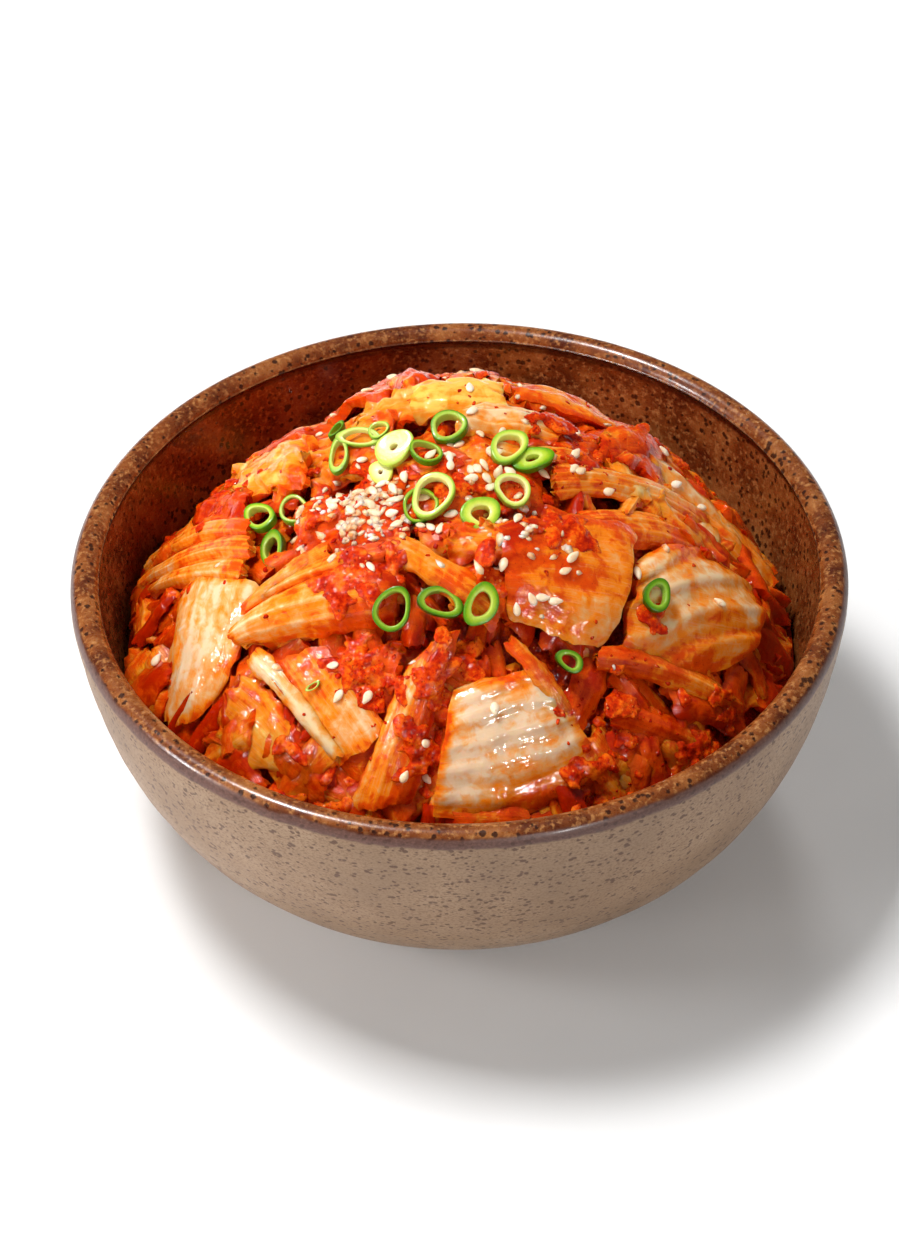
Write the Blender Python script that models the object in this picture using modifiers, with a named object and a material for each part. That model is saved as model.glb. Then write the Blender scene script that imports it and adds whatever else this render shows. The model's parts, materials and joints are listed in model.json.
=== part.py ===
"""Kimchi heaped in a round stoneware bowl. Metres, +Z up, the bowl's base centre at the origin."""

import math

import bpy
from mathutils import noise

for old in list(bpy.data.objects):
    bpy.data.objects.remove(old, do_unlink=True)

MM = 0.001

# The bowl, in millimetres
RIM_HEIGHT = 63.3
CREST_RADIUS = 77.0
OUTER_RADIUS = 80.0
RIM_CENTRE_HEIGHT = 60.0
LIP_RADIUS = 74.2
LIP_HEIGHT = 60.8
FOOT_OUTER_RADIUS = 49.5
FOOT_INNER_RADIUS = 45.0
FOOT_RECESS = 3.0
OUTER_WALL = ((79.9, 59.3), (77.2, 24.0), (64.0, 11.0), (49.9, 1.0))
INNER_WALL = ((40.0, 9.5), (60.0, 10.5), (72.0, 27.0), (75.0, 59.0))
FLOOR_HEIGHT = 9.5
BOWL_STEPS = 64

# The heap, in millimetres above the rim
PEAK_RISE = 24.6
PIECE_LIFT = 1.55
DOME_DROP = 55.0
DOME_RADIUS = 72.0
DOME_POWER = 2.1
DOME_CENTRE = (-1.0, 0.0)
# The far side falls straight back from a crest, given as x and its height above y = 0
CREST = (
    (-72.0, 57.0), (-45.0, 86.0), (-32.0, 95.0), (-24.0, 98.5), (-14.0, 109.0), (3.0, 113.0),
    (19.0, 106.5), (30.0, 98.5), (42.0, 94.0), (56.0, 80.0), (72.0, 57.0),
)
FAR_SLOPE = 0.893
CREST_BLEND = 1.2
WALL_GAP = 0.5
HEAP_SEGMENTS = 92
HEAP_RINGS = 38
TOP_RINGS = 30

# Each cabbage piece that stands out of the heap: centre x and y, heading in degrees,
# half length, half width and rise, all in millimetres
PIECES = {
    "front_square": (9.0, -54.0, 28.0, 17.0, 11.5, 4.5),
    "left_leaf": (-52.0, -21.0, 20.0, 11.0, 12.0, 4.5),
    "folded_stem": (-25.0, -29.0, -9.0, 20.0, 8.0, 6.0),
    "split_stem": (-31.0, -43.0, -53.0, 14.0, 8.0, 4.0),
    "lower_leaf": (-40.0, -42.0, -55.0, 9.0, 9.0, 2.5),
    "centre_stick": (-10.0, -50.0, 45.0, 14.0, 6.0, 5.0),
    "right_flap": (24.0, -25.0, 18.0, 14.0, 11.0, 5.0),
    "right_rib": (47.0, -19.0, 46.0, 19.0, 11.0, 5.5),
    "right_stick": (43.0, -37.0, 18.0, 14.0, 5.0, 4.0),
    "lower_right": (40.0, -46.0, 8.0, 12.0, 5.0, 2.5),
    "summit_leaf": (-2.0, 19.0, 12.0, 14.0, 9.0, 5.5),
    "summit_right": (11.0, 12.0, 45.0, 13.0, 7.0, 3.5),
    "back_right_strip": (28.0, 18.0, -38.0, 14.0, 6.0, 3.5),
    "pepper_piece": (38.0, 25.0, -25.0, 9.0, 6.0, 5.5),
    "right_band": (33.0, 4.0, 26.0, 20.0, 7.0, 4.5),
    "far_right_curl": (60.0, 20.0, -58.0, 11.0, 7.0, 3.5),
    "centre_fold": (8.0, -20.0, 15.0, 10.0, 8.0, 4.5),
    "centre_stem": (-4.0, -29.0, -25.0, 12.0, 4.0, 4.0),
    "left_fan": (-49.0, 0.0, -45.0, 14.0, 11.0, 4.5),
    "left_curl": (-37.0, 20.0, -35.0, 12.0, 8.0, 5.0),
    "left_back_chunk": (-50.0, 14.0, 20.0, 6.0, 5.0, 3.0),
    "garlic_patch": (-12.0, -8.0, 10.0, 14.0, 10.0, 2.5),
    "back_leaf": (-17.0, 39.0, 12.0, 16.0, 9.0, 4.5),
    "back_stem": (14.0, 45.0, -18.0, 15.0, 8.0, 4.5),
    "back_right_leaf": (42.0, 40.0, -47.0, 13.0, 8.0, 4.0),
    "back_left_leaf": (-45.0, 38.0, 48.0, 12.0, 8.0, 4.0),
    "back_low_strip": (-2.0, 58.0, 4.0, 16.0, 5.0, 3.0),
}


def bezier(points, t):
    a, b, c, d = points
    u = 1.0 - t
    weights = (u * u * u, 3.0 * u * u * t, 3.0 * u * t * t, t * t * t)
    x = sum(w * p[0] for w, p in zip(weights, (a, b, c, d)))
    z = sum(w * p[1] for w, p in zip(weights, (a, b, c, d)))
    return x, z


def smooth(low, high, value):
    t = min(max((value - low) / (high - low), 0.0), 1.0)
    return t * t * (3.0 - 2.0 * t)


def bowl_profile():
    # From the floor's centre out, up the inner wall, over the rim, down the outer wall
    # and across the recessed base back to the axis
    points = [(0.0, FLOOR_HEIGHT - 0.8), (22.0, FLOOR_HEIGHT - 0.4)]
    points += [bezier(INNER_WALL, i / 7.0) for i in range(8)]
    points.append((LIP_RADIUS, LIP_HEIGHT))
    for angle in (62.0, 90.0, 118.0):
        turn = math.radians(180.0 - angle)
        x = CREST_RADIUS + (OUTER_RADIUS - CREST_RADIUS) * math.cos(turn)
        z = RIM_CENTRE_HEIGHT + (RIM_HEIGHT - RIM_CENTRE_HEIGHT) * math.sin(turn)
        points.append((x, z))
    points.append((79.6, 61.6))
    points += [bezier(OUTER_WALL, i / 8.0) for i in range(9)]
    points.append((FOOT_OUTER_RADIUS - 0.6, 0.0))
    points.append((FOOT_INNER_RADIUS, 0.0))
    points.append((FOOT_INNER_RADIUS - 1.5, FOOT_RECESS))
    points.append((0.0, FOOT_RECESS))
    return points


def inner_radius(height):
    # The inner wall's radius at a height above the base
    low, high = 0.0, 1.0
    for _ in range(40):
        mid = (low + high) / 2.0
        if bezier(INNER_WALL, mid)[1] < height:
            low = mid
        else:
            high = mid
    return bezier(INNER_WALL, low)[0]


def piece_rise(x, y):
    # The tallest piece at this place, each with a flat back and steep sides
    best = 0.0
    for cx, cy, heading, half_length, half_width, rise in PIECES.values():
        turn = math.radians(heading)
        u = (x - cx) * math.cos(turn) + (y - cy) * math.sin(turn)
        v = (y - cy) * math.cos(turn) - (x - cx) * math.sin(turn)
        size = (abs(u) / half_length) ** 4 + (abs(v) / half_width) ** 4
        outside = (size**0.25 - 1.0) * half_width
        best = max(best, PIECE_LIFT * rise * (1.0 - smooth(-2.4, 2.4, outside)))
    return best


def edge_rise(angle):
    # Where the heap meets the wall: high in front, lower at the sides and back
    front = 0.5 - 0.5 * math.sin(angle)
    uneven = 1.6 * math.sin(3.0 * angle + 0.6) + 1.1 * math.sin(7.0 * angle + 2.0)
    return -25.5 + 12.0 * front**2.2 + uneven


def crest_height(x):
    for (x0, z0), (x1, z1) in zip(CREST, CREST[1:]):
        if x <= x1:
            return z0 + (z1 - z0) * (max(x, x0) - x0) / (x1 - x0)
    return CREST[-1][1]


def top_height(x, y, angle, share):
    rho = math.hypot(x - DOME_CENTRE[0], y - DOME_CENTRE[1])
    dome = PEAK_RISE - DOME_DROP * (rho / DOME_RADIUS) ** DOME_POWER
    far = crest_height(x) - RIM_HEIGHT - FAR_SLOPE * y
    dome = min(dome, far) - CREST_BLEND * math.log1p(math.exp(-abs(dome - far) / CREST_BLEND))
    lumps = 2.4 * noise.noise((x * 0.13, y * 0.13, 3.7))
    lumps += 1.2 * noise.noise((x * 0.27, y * 0.27, 8.1))
    inside = dome + piece_rise(x, y) + lumps
    blend = smooth(0.80, 1.0, share)
    return RIM_HEIGHT + inside * (1.0 - blend) + edge_rise(angle) * blend


def make_material(name, colour, roughness):
    material = bpy.data.materials.new(name)
    material.use_nodes = True
    shader = material.node_tree.nodes["Principled BSDF"]
    shader.inputs["Base Color"].default_value = colour
    shader.inputs["Roughness"].default_value = roughness
    return material


def make_bowl(home):
    profile = bowl_profile()
    mesh = bpy.data.meshes.new("bowl")
    points = [(x * MM, 0.0, z * MM) for x, z in profile]
    mesh.from_pydata(points, [(i, i + 1) for i in range(len(points) - 1)], [])
    bowl = bpy.data.objects.new("bowl", mesh)
    home.objects.link(bowl)
    turn = bowl.modifiers.new("turn", "SCREW")
    turn.axis = "Z"
    turn.angle = math.tau
    turn.steps = BOWL_STEPS
    turn.render_steps = BOWL_STEPS
    turn.use_merge_vertices = True
    turn.merge_threshold = 0.0001
    turn.use_smooth_shade = True
    mesh.materials.append(make_material("glazed_stoneware", (0.42, 0.29, 0.2, 1.0), 0.35))
    return bowl


def make_heap(home):
    bpy.ops.mesh.primitive_uv_sphere_add(
        segments=HEAP_SEGMENTS, ring_count=HEAP_RINGS, radius=1.0, location=(0.0, 0.0, 0.0)
    )
    heap = bpy.context.object
    heap.name = "kimchi_heap"
    heap.data.name = "kimchi_heap"
    for collection in list(heap.users_collection):
        collection.objects.unlink(heap)
    home.objects.link(heap)
    floor = FLOOR_HEIGHT + WALL_GAP
    for vertex in heap.data.vertices:
        x, y, z = vertex.co
        angle = math.atan2(y, x)
        ring = round(math.acos(max(-1.0, min(1.0, z))) / math.pi * HEAP_RINGS)
        if ring == 0 or ring == HEAP_RINGS:
            angle = 0.0
        edge = edge_rise(angle) + RIM_HEIGHT
        contact = inner_radius(edge) - WALL_GAP
        if ring <= TOP_RINGS:
            share = ring / TOP_RINGS
            radius = contact * share ** 0.9
            px = radius * math.cos(angle)
            py = radius * math.sin(angle)
            pz = top_height(px, py, angle, share ** 0.9)
        else:
            # Below the edge the heap follows the bowl's inside down to its floor
            down = (ring - TOP_RINGS) / (HEAP_RINGS - TOP_RINGS)
            drop = min(down / 0.72, 1.0)
            pz = edge + (floor + 1.0 - edge) * drop
            radius = inner_radius(pz - WALL_GAP) - WALL_GAP
            if down > 0.72:
                pz = floor + 0.3
                radius = radius * (1.0 - down) / 0.28
            px = radius * math.cos(angle)
            py = radius * math.sin(angle)
        vertex.co = (px * MM, py * MM, pz * MM)
    for polygon in heap.data.polygons:
        polygon.use_smooth = True
    heap.data.materials.clear()
    heap.data.materials.append(make_material("chilli_cabbage", (0.62, 0.13, 0.03, 1.0), 0.3))
    return heap


home = bpy.data.collections.new("kimchi_in_bowl")
bpy.context.scene.collection.children.link(home)
make_bowl(home)
make_heap(home)
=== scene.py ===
import bpy
import json
import math
import random
import numpy as np
from mathutils import Matrix, Vector, noise
from mathutils.bvhtree import BVHTree

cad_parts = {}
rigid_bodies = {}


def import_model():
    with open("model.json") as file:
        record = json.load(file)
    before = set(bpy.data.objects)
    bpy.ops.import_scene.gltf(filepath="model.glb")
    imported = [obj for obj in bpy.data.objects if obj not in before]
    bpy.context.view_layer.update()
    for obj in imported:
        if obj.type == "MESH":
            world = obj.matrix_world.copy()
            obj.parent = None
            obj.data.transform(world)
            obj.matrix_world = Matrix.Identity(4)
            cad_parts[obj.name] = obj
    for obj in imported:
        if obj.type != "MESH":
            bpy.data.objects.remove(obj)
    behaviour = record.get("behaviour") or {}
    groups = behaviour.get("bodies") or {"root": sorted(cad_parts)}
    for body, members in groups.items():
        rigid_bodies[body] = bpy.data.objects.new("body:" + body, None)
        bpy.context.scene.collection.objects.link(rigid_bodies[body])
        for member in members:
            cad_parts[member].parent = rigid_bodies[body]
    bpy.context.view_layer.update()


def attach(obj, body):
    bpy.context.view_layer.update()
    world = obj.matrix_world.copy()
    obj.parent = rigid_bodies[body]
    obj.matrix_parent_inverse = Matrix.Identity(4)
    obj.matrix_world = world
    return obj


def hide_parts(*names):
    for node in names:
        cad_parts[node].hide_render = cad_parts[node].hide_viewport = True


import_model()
scene = bpy.context.scene
mm = 0.001
print("frame loaded")


# the heap's outer face, in millimetres; everything that lies on it asks here for its height
heap = {
    "rim": 63.3, "peak": 28.5, "fall": 54.5, "radius": 72.0, "power": 2.1, "middle": (-1.0, 0.0),
    # the far side falls straight back from a crest, given as x and its height over y = 0
    "crest": [(-72, 57), (-45, 86), (-32, 95), (-24, 98.5), (-14, 109), (3, 113), (19, 106.5), (30, 98.5), (42, 94),
              (56, 80), (72, 57)],
    "farSlope": 0.893, "blend": 1.2}


def crestHeight(x):
    crest = heap["crest"]
    for (x0, z0), (x1, z1) in zip(crest, crest[1:]):
        if x <= x1:
            return z0 + (z1 - z0) * (max(x, x0) - x0) / (x1 - x0)
    return crest[-1][1]


def heapHeight(x, y):
    reach = math.hypot(x - heap["middle"][0], y - heap["middle"][1])
    near = heap["rim"] + heap["peak"] - heap["fall"] * (reach / heap["radius"]) ** heap["power"]
    far = crestHeight(x) - heap["farSlope"] * y
    gap, blend = abs(near - far), heap["blend"]
    return min(near, far) - blend * math.log1p(math.exp(-gap / blend))


def heapNormal(x, y):
    slopeX = heapHeight(x + 0.5, y) - heapHeight(x - 0.5, y)
    slopeY = heapHeight(x, y + 0.5) - heapHeight(x, y - 0.5)
    return Vector((-slopeX, -slopeY, 1.0)).normalized()


def ease(low, high, value):
    share = min(max((value - low) / (high - low), 0.0), 1.0)
    return share * share * (3.0 - 2.0 * share)


def clearSelection():
    if bpy.context.object and bpy.context.object.mode != "OBJECT":
        bpy.ops.object.mode_set(mode="OBJECT")
    bpy.ops.object.select_all(action="DESELECT")


def selectOnly(*pieces):
    clearSelection()
    for piece in pieces:
        piece.select_set(True)
    bpy.context.view_layer.objects.active = pieces[0]


def applyAll(piece):
    selectOnly(piece)
    for modifier in list(piece.modifiers):
        bpy.ops.object.modifier_apply(modifier=modifier.name)


def joinPieces(parts, name):
    selectOnly(*parts)
    bpy.ops.object.join()
    parts[0].name = name
    parts[0].data.name = name
    return parts[0]


def keepPiece(piece, material, node):
    piece.data.materials.clear()
    piece.data.materials.append(material)
    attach(piece, "root")
    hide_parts(node)


def paintLook(piece, colours):
    # red is how much sauce has soaked in, green the height of a rib, blue how leafy it is
    layer = piece.data.attributes.new("look", "FLOAT_COLOR", "POINT")
    layer.data.foreach_set("color", [part for colour in colours for part in colour])


class Tap:
    # one socket of a material, so that its maths reads as maths
    def __init__(self, tree, socket):
        self.tree = tree
        self.socket = socket

    def make(self, kind, settings=None, values=None, out=0):
        node = self.tree.nodes.new(kind)
        for key, value in (settings or {}).items():
            if key == "stops":
                ramp = node.color_ramp
                while len(ramp.elements) < len(value):
                    ramp.elements.new(0.5)
                for element, (place, colour) in zip(ramp.elements, value):
                    element.position = place
                    element.color = colour
            else:
                setattr(node, key, value)
        for key, value in (values or {}).items():
            if isinstance(value, Tap):
                self.tree.links.new(value.socket, node.inputs[key])
            else:
                node.inputs[key].default_value = value
        return Tap(self.tree, node.outputs[out])

    def calc(self, operation, *values):
        return self.make("ShaderNodeMath", {"operation": operation}, dict(enumerate(values)))

    def __add__(self, other):
        return self.calc("ADD", self, other)

    __radd__ = __add__

    def __sub__(self, other):
        return self.calc("SUBTRACT", self, other)

    def __rsub__(self, other):
        return self.calc("SUBTRACT", other, self)

    def __mul__(self, other):
        return self.calc("MULTIPLY", self, other)

    __rmul__ = __mul__

    def between(self, low, high):
        # 0 below low, 1 above high, and an even run between
        return self.make("ShaderNodeMapRange", {"interpolation_type": "SMOOTHSTEP"},
                         {"Value": self, "From Min": low, "From Max": high})

    def mix(self, first, second):
        # first where this is 0, second where it is 1
        return self.make("ShaderNodeMix", {"data_type": "RGBA"}, {0: self, 6: first, 7: second}, 2)

    def ramp(self, stops):
        return self.make("ShaderNodeValToRGB", {"stops": stops}, {"Fac": self})

    def noise(self, scale, detail=3.0, rough=0.55, warp=0.0):
        return self.make("ShaderNodeTexNoise", {}, {
            "Vector": self, "Scale": scale, "Detail": detail, "Roughness": rough, "Distortion": warp})

    def specks(self, scale, fuzz, low, high):
        # 1 on round specks, 0 between them; fuzz makes their edges uneven
        cells = self.make("ShaderNodeTexVoronoi", {"feature": "F1"}, {"Vector": self, "Scale": scale})
        return 1.0 - (cells + fuzz).between(low, high)

    def fuzz(self, scale, detail, amount):
        return (self.noise(scale, detail) - 0.5) * amount

    def stretch(self, x, y, z):
        return self.make("ShaderNodeMapping", {}, {"Vector": self, "Scale": (x, y, z)})

    def split(self, kind):
        node = self.tree.nodes.new(kind)
        self.tree.links.new(self.socket, node.inputs[0])
        return [Tap(self.tree, out) for out in node.outputs]

    def bump(self, distance, strength):
        return self.make("ShaderNodeBump", {}, {"Height": self, "Distance": distance, "Strength": strength})


def tone(red, green, blue):
    # a screen colour as the shader wants it
    def straight(part):
        part = part / 255.0
        return part / 12.92 if part <= 0.04045 else ((part + 0.055) / 1.055) ** 2.4
    return (straight(red), straight(green), straight(blue), 1.0)


def startMaterial(name, **fixed):
    material = bpy.data.materials.new(name)
    material.use_nodes = True
    tree = material.node_tree
    shader = tree.nodes["Principled BSDF"]
    for key, value in fixed.items():
        shader.inputs[key.replace("_", " ")].default_value = value
    # patterns are sized in millimetres
    spot = Tap(tree, None).make("ShaderNodeTexCoord", out="Object")
    place = spot.make("ShaderNodeVectorMath", {"operation": "SCALE"}, {0: spot, 3: 1 / mm})

    def wire(socket, value):
        tree.links.new(value.socket, shader.inputs[socket])
    return material, place, wire


def lookOf(tap):
    return tap.make("ShaderNodeAttribute", {"attribute_name": "look"}).split("ShaderNodeSeparateColor")


def makeClay():
    # dark brown speckled glaze inside and over the rim, bare beige stoneware below it
    material, place, wire = startMaterial("glazedStoneware", IOR=1.5, Coat_Roughness=0.14)
    x, y, z = place.split("ShaderNodeSeparateXYZ")
    reach = x.calc("SQRT", x * x + y * y)
    wave = place.noise(0.09, 3.0) - 0.5
    small = place.noise(0.6, 3.0) - 0.5
    inside = lookOf(place)[0]                                # 0 inside and on the rim, 1 on the outer side
    edge = z + wave * 1.6 + small * 0.6
    bare = (1.0 - edge.between(60.1, 60.75)) * inside        # below the dipped band
    grey = (1.0 - edge.between(62.0, 62.5)) * inside
    # bare clay
    clayNoise = place.noise(0.05, 4.0)
    clay = clayNoise.ramp([(0.3, tone(136, 108, 82)), (0.5, tone(149, 119, 91)), (0.72, tone(164, 135, 107))])
    grain = place.stretch(1.0, 1.0, 1.6).noise(1.6, 4.0)
    clay = grain.between(0.44, 0.66).mix(clay, tone(128, 98, 72))
    speckPlace = place.stretch(1.15, 1.15, 1.5)
    speckSize = speckPlace.noise(0.35, 2.0)
    specks = speckPlace.specks(0.62, place.fuzz(2.2, 2.0, 0.36), (speckSize - 0.38) * 1.3,
                               (speckSize - 0.30) * 1.3 + 0.06)
    dust = place.stretch(1.0, 1.0, 1.5).specks(1.5, place.fuzz(4.0, 2.0, 0.3), 0.13, 0.22)
    clay = (dust * 0.55).mix(clay, tone(124, 90, 66))
    clay = (specks * 0.85).mix(clay, tone(84, 52, 34))
    # painted shade: the clay is darkened within about two millimetres of the floor, where the foot meets the floor
    base = 1.0 - (z + small * 0.6).between(0.6, 1.9)
    clay = (base * 0.45).mix(clay, tone(98, 74, 58))
    # glaze
    pool = place.noise(0.11, 4.0, 0.6)
    glaze = pool.ramp([(0.34, tone(78, 30, 8)), (0.5, tone(120, 60, 22)), (0.68, tone(154, 94, 46))])
    mottle = place.noise(0.9, 4.0, 0.62)
    glaze = (mottle.between(0.48, 0.7) * (0.5 + z.between(30.0, 60.0) * 0.5)).mix(glaze, tone(172, 116, 66))
    spots = place.specks(0.55, place.fuzz(1.8, 2.0, 0.4), (pool - 0.30) * 0.9, (pool - 0.22) * 0.9 + 0.08)
    glaze = (spots * 0.9).mix(glaze, tone(40, 12, 4))
    fine = place.specks(1.7, place.fuzz(3.5, 1.0, 0.3), 0.1, 0.2)
    glaze = (fine * 0.6).mix(glaze, tone(52, 20, 8))
    rimDark = (reach + small * 0.5).between(78.6, 79.3) * z.between(60.2, 61.4)
    glaze = (rimDark * 0.75).mix(glaze, tone(64, 22, 8))
    # painted shade: a dark line on the inner wall just under the rolled rim, in the recess where the rim overhangs
    lip = 1.0 - (reach.calc("ABSOLUTE", reach - 74.6)).between(0.25, 0.9)
    glaze = (lip * z.between(58.2, 59.0) * (1.0 - z.between(60.6, 61.6)) * 0.8).mix(glaze, tone(44, 10, 4))
    dipped = grain.between(0.4, 0.7).mix(tone(92, 62, 54), tone(112, 80, 70))
    dipped = (specks * 0.6).mix(dipped, tone(60, 34, 28))
    glaze = (grey * 0.85).mix(glaze, dipped)
    wire("Base Color", bare.mix(glaze, clay))
    wire("Roughness", bare * 0.22 + grain * 0.08 + 0.24 + grey * (1.0 - bare) * 0.18)
    wire("Coat Weight", (1.0 - bare) * 0.12)
    height = place.stretch(0.04, 0.04, 1.0).noise(0.5, 3.0) * 0.5 + grain * 0.1 * bare - specks * 0.12 * bare
    height = height + place.noise(0.3, 3.0) * 0.35 * (1.0 - bare)
    wire("Normal", height.bump(0.0004, 0.5))
    return material


def makeCabbage():
    # cream ribs, orange where the sauce has soaked in, deep red where it lies thick
    material, place, wire = startMaterial(
        "pickledCabbage", IOR=1.42, Subsurface_Weight=0.5, Subsurface_Scale=0.003, Specular_IOR_Level=0.42,
        Subsurface_Radius=(1.0, 0.5, 0.22), Coat_Roughness=0.04, Coat_IOR=1.45)
    stain, ridge, leafy = lookOf(place)
    flat = place.make("ShaderNodeTexCoord", out="UV")
    fibre = flat.stretch(0.8, 7.0, 1.0).noise(3.0, 2.0, 0.5)
    fineFibre = flat.stretch(1.4, 20.0, 1.0).noise(3.0, 1.0)
    blotch = place.noise(0.12, 3.0, 0.55)
    patch = place.noise(0.4, 4.0, 0.62, 0.6)
    # the rib term is partly sauce gathered in the grooves and partly a painted highlight, keeping the rib crests paler
    soak = stain + (blotch - 0.5) * 1.1 + (patch - 0.5) * 0.8 + (fibre - 0.5) * 0.14 - (ridge - 0.45) * 0.2
    clean = leafy.mix(tone(236, 200, 164), tone(246, 190, 84))
    wet = leafy.mix(tone(238, 164, 92), tone(246, 146, 30))
    base = soak.between(0.0, 0.26).mix(clean, wet)
    base = soak.between(0.2, 0.42).mix(base, tone(246, 132, 16))
    base = soak.between(0.4, 0.62).mix(base, tone(226, 78, 4))
    base = soak.between(0.62, 1.0).mix(base, tone(184, 34, 0))
    base = (fineFibre.between(0.5, 0.8) * 0.12 * (1.0 - soak.between(0.4, 0.7))).mix(base, tone(252, 232, 204))
    flakes = place.specks(1.5, place.fuzz(3.0, 2.0, 0.3), 0.1, 0.17) * (soak + (patch - 0.5) * 0.8).between(0.35, 0.75)
    base = (flakes * 0.7).mix(base, tone(160, 20, 2))
    wire("Base Color", base)
    wire("Roughness", 0.06 + patch * 0.1)
    wire("Coat Weight", 0.1 + patch * 0.1)
    relief = fibre * 0.26 + fineFibre * 0.03 + place.noise(0.9, 1.5, 0.4) * 0.2 + flakes * 0.08
    relief = relief + place.noise(0.42, 1.5, 0.45) * (0.4 + soak.between(0.3, 0.9) * 0.8)
    wire("Normal", relief.bump(0.0006, 0.6))
    return material


# the reds of what is made of chili, each from dark to light
reds = {
    "chiliPaste": (tone(168, 22, 0), tone(212, 54, 2), tone(242, 110, 16)),
    # painted shade: the mass under the pieces gets darker reds than the paste on top, standing in for the shade in the
    # gaps between pieces
    "deepSauce": (tone(88, 8, 0), tone(160, 28, 0), tone(214, 72, 8)),
    "driedChili": (tone(170, 14, 0), tone(206, 34, 2), tone(230, 70, 8)),
}


def makePaste(name):
    material, place, wire = startMaterial(
        name, IOR=1.45, Subsurface_Weight=0.2, Subsurface_Scale=0.003, Specular_IOR_Level=0.28,
        Subsurface_Radius=(1.0, 0.3, 0.05), Coat_Roughness=0.05)
    lumps = place.noise(0.3, 3.0, 0.55)
    small = place.noise(1.3, 3.0, 0.6)
    base = (lumps * 0.6 + small * 0.4).ramp(list(zip((0.38, 0.5, 0.62), reds[name])))
    seeds = place.specks(0.5, (small - 0.5) * 0.35, 0.06, 0.13)
    base = (seeds * 0.7).mix(base, tone(246, 158, 74))
    flakes = place.stretch(1.3, 1.0, 0.8).specks(1.1, (small - 0.5) * 0.3, 0.12, 0.2)
    base = (flakes * 0.7).mix(base, tone(130, 10, 2))
    wire("Base Color", base)
    wire("Roughness", 0.06 + small * 0.08)
    wire("Coat Weight", 0.05 + lumps * 0.1)
    wire("Normal", (place.noise(0.5, 1.5, 0.45) + small * 0.08 + flakes * 0.06).bump(0.001, 0.8))
    return material


def makeScallion():
    # pale inside, bright to deep green towards the skin; blue turns a ring pale and yellow
    material, place, wire = startMaterial(
        "freshScallion", IOR=1.4, Subsurface_Weight=0.2, Subsurface_Scale=0.002,
        Subsurface_Radius=(0.6, 1.0, 0.25), Coat_Weight=0.4, Coat_Roughness=0.1)
    inner, deep, pale = lookOf(place)
    vein = place.noise(1.2, 3.0)
    core = inner + (vein - 0.5) * 0.3
    fresh = core.ramp([(0.0, tone(226, 232, 110)), (0.45, tone(196, 218, 40)), (0.8, tone(136, 186, 8)),
                       (1.0, tone(92, 156, 6))])
    dark = core.ramp([(0.0, tone(104, 160, 24)), (0.5, tone(52, 118, 8)), (1.0, tone(28, 84, 4))])
    light = core.ramp([(0.0, tone(248, 240, 190)), (0.5, tone(240, 238, 150)), (1.0, tone(206, 220, 84))])
    wire("Base Color", pale.mix(deep.mix(fresh, dark), light))
    wire("Roughness", 0.22 + vein * 0.15)
    wire("Normal", (vein * 0.5 + place.stretch(1.0, 1.0, 0.3).noise(3.0, 2.0) * 0.3).bump(0.0003, 0.6))
    return material


def makeSeed():
    material, place, wire = startMaterial(
        "toastedSesame", IOR=1.45, Subsurface_Weight=0.15, Subsurface_Scale=0.0015,
        Subsurface_Radius=(1.0, 0.7, 0.4), Coat_Weight=0.3, Coat_Roughness=0.15)
    shade = place.noise(0.35, 2.0)
    small = place.noise(1.6, 3.0)
    base = shade.ramp([(0.35, tone(240, 200, 156)), (0.55, tone(252, 224, 188)), (0.7, tone(255, 238, 216))])
    base = small.between(0.6, 0.8).mix(base, tone(214, 150, 88))
    wire("Base Color", base)
    wire("Roughness", 0.34 + small * 0.2)
    wire("Normal", small.bump(0.0002, 0.4))
    return material


def makeGarlic():
    material, place, wire = startMaterial(
        "mincedGarlic", IOR=1.42, Subsurface_Weight=0.4, Subsurface_Scale=0.002,
        Subsurface_Radius=(1.0, 0.75, 0.4), Coat_Weight=0.6, Coat_Roughness=0.08)
    shade = place.noise(0.5, 3.0)
    base = shade.ramp([(0.32, tone(244, 146, 78)), (0.5, tone(252, 206, 158)), (0.68, tone(255, 240, 222))])
    wire("Base Color", base)
    wire("Roughness", 0.2 + shade * 0.2)
    wire("Normal", place.noise(1.6, 3.0).bump(0.0005, 0.6))
    return material


def makeFloorPaint():
    material, place, wire = startMaterial("paleFloor", Roughness=0.9, Specular_IOR_Level=0.1)
    wire("Base Color", place.noise(0.02, 2.0).ramp([(0.3, (0.86, 0.86, 0.86, 1.0)), (0.7, (0.9, 0.9, 0.9, 1.0))]))
    return material


bowlShape = {
    "outer": ((80.0, 59.3), (77.2, 24.0), (64.0, 11.0), (49.9, 1.0)),
    "inner": ((40.0, 9.5), (60.0, 10.5), (72.0, 27.0), (75.0, 59.0)),
    "crest": (77.0, 60.0, 3.0, 3.3),     # rim's centre radius and height, then its half width and half height
    "lip": (74.2, 60.6),
    "foot": 3.0,                         # recess under the base
    "steps": 34,                         # along each curve of the wall
    "rounds": 18,                        # over the rim
    "turns": 224,
    "throwing": 0.12,                    # depth of the potter's rings
}


def bezier(points, share):
    rest = 1.0 - share
    weights = (rest ** 3, 3 * rest * rest * share, 3 * rest * share * share, share ** 3)
    return (sum(w * p[0] for w, p in zip(weights, points)), sum(w * p[1] for w, p in zip(weights, points)))


def wallRadius(side, height):
    # the inner curve runs up and the outer one down
    low, high = 0.0, 1.0
    for step in range(30):
        middle = (low + high) / 2
        if (bezier(bowlShape[side], middle)[1] < height) == (side == "inner"):
            low = middle
        else:
            high = middle
    return bezier(bowlShape[side], low)[0]


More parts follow.
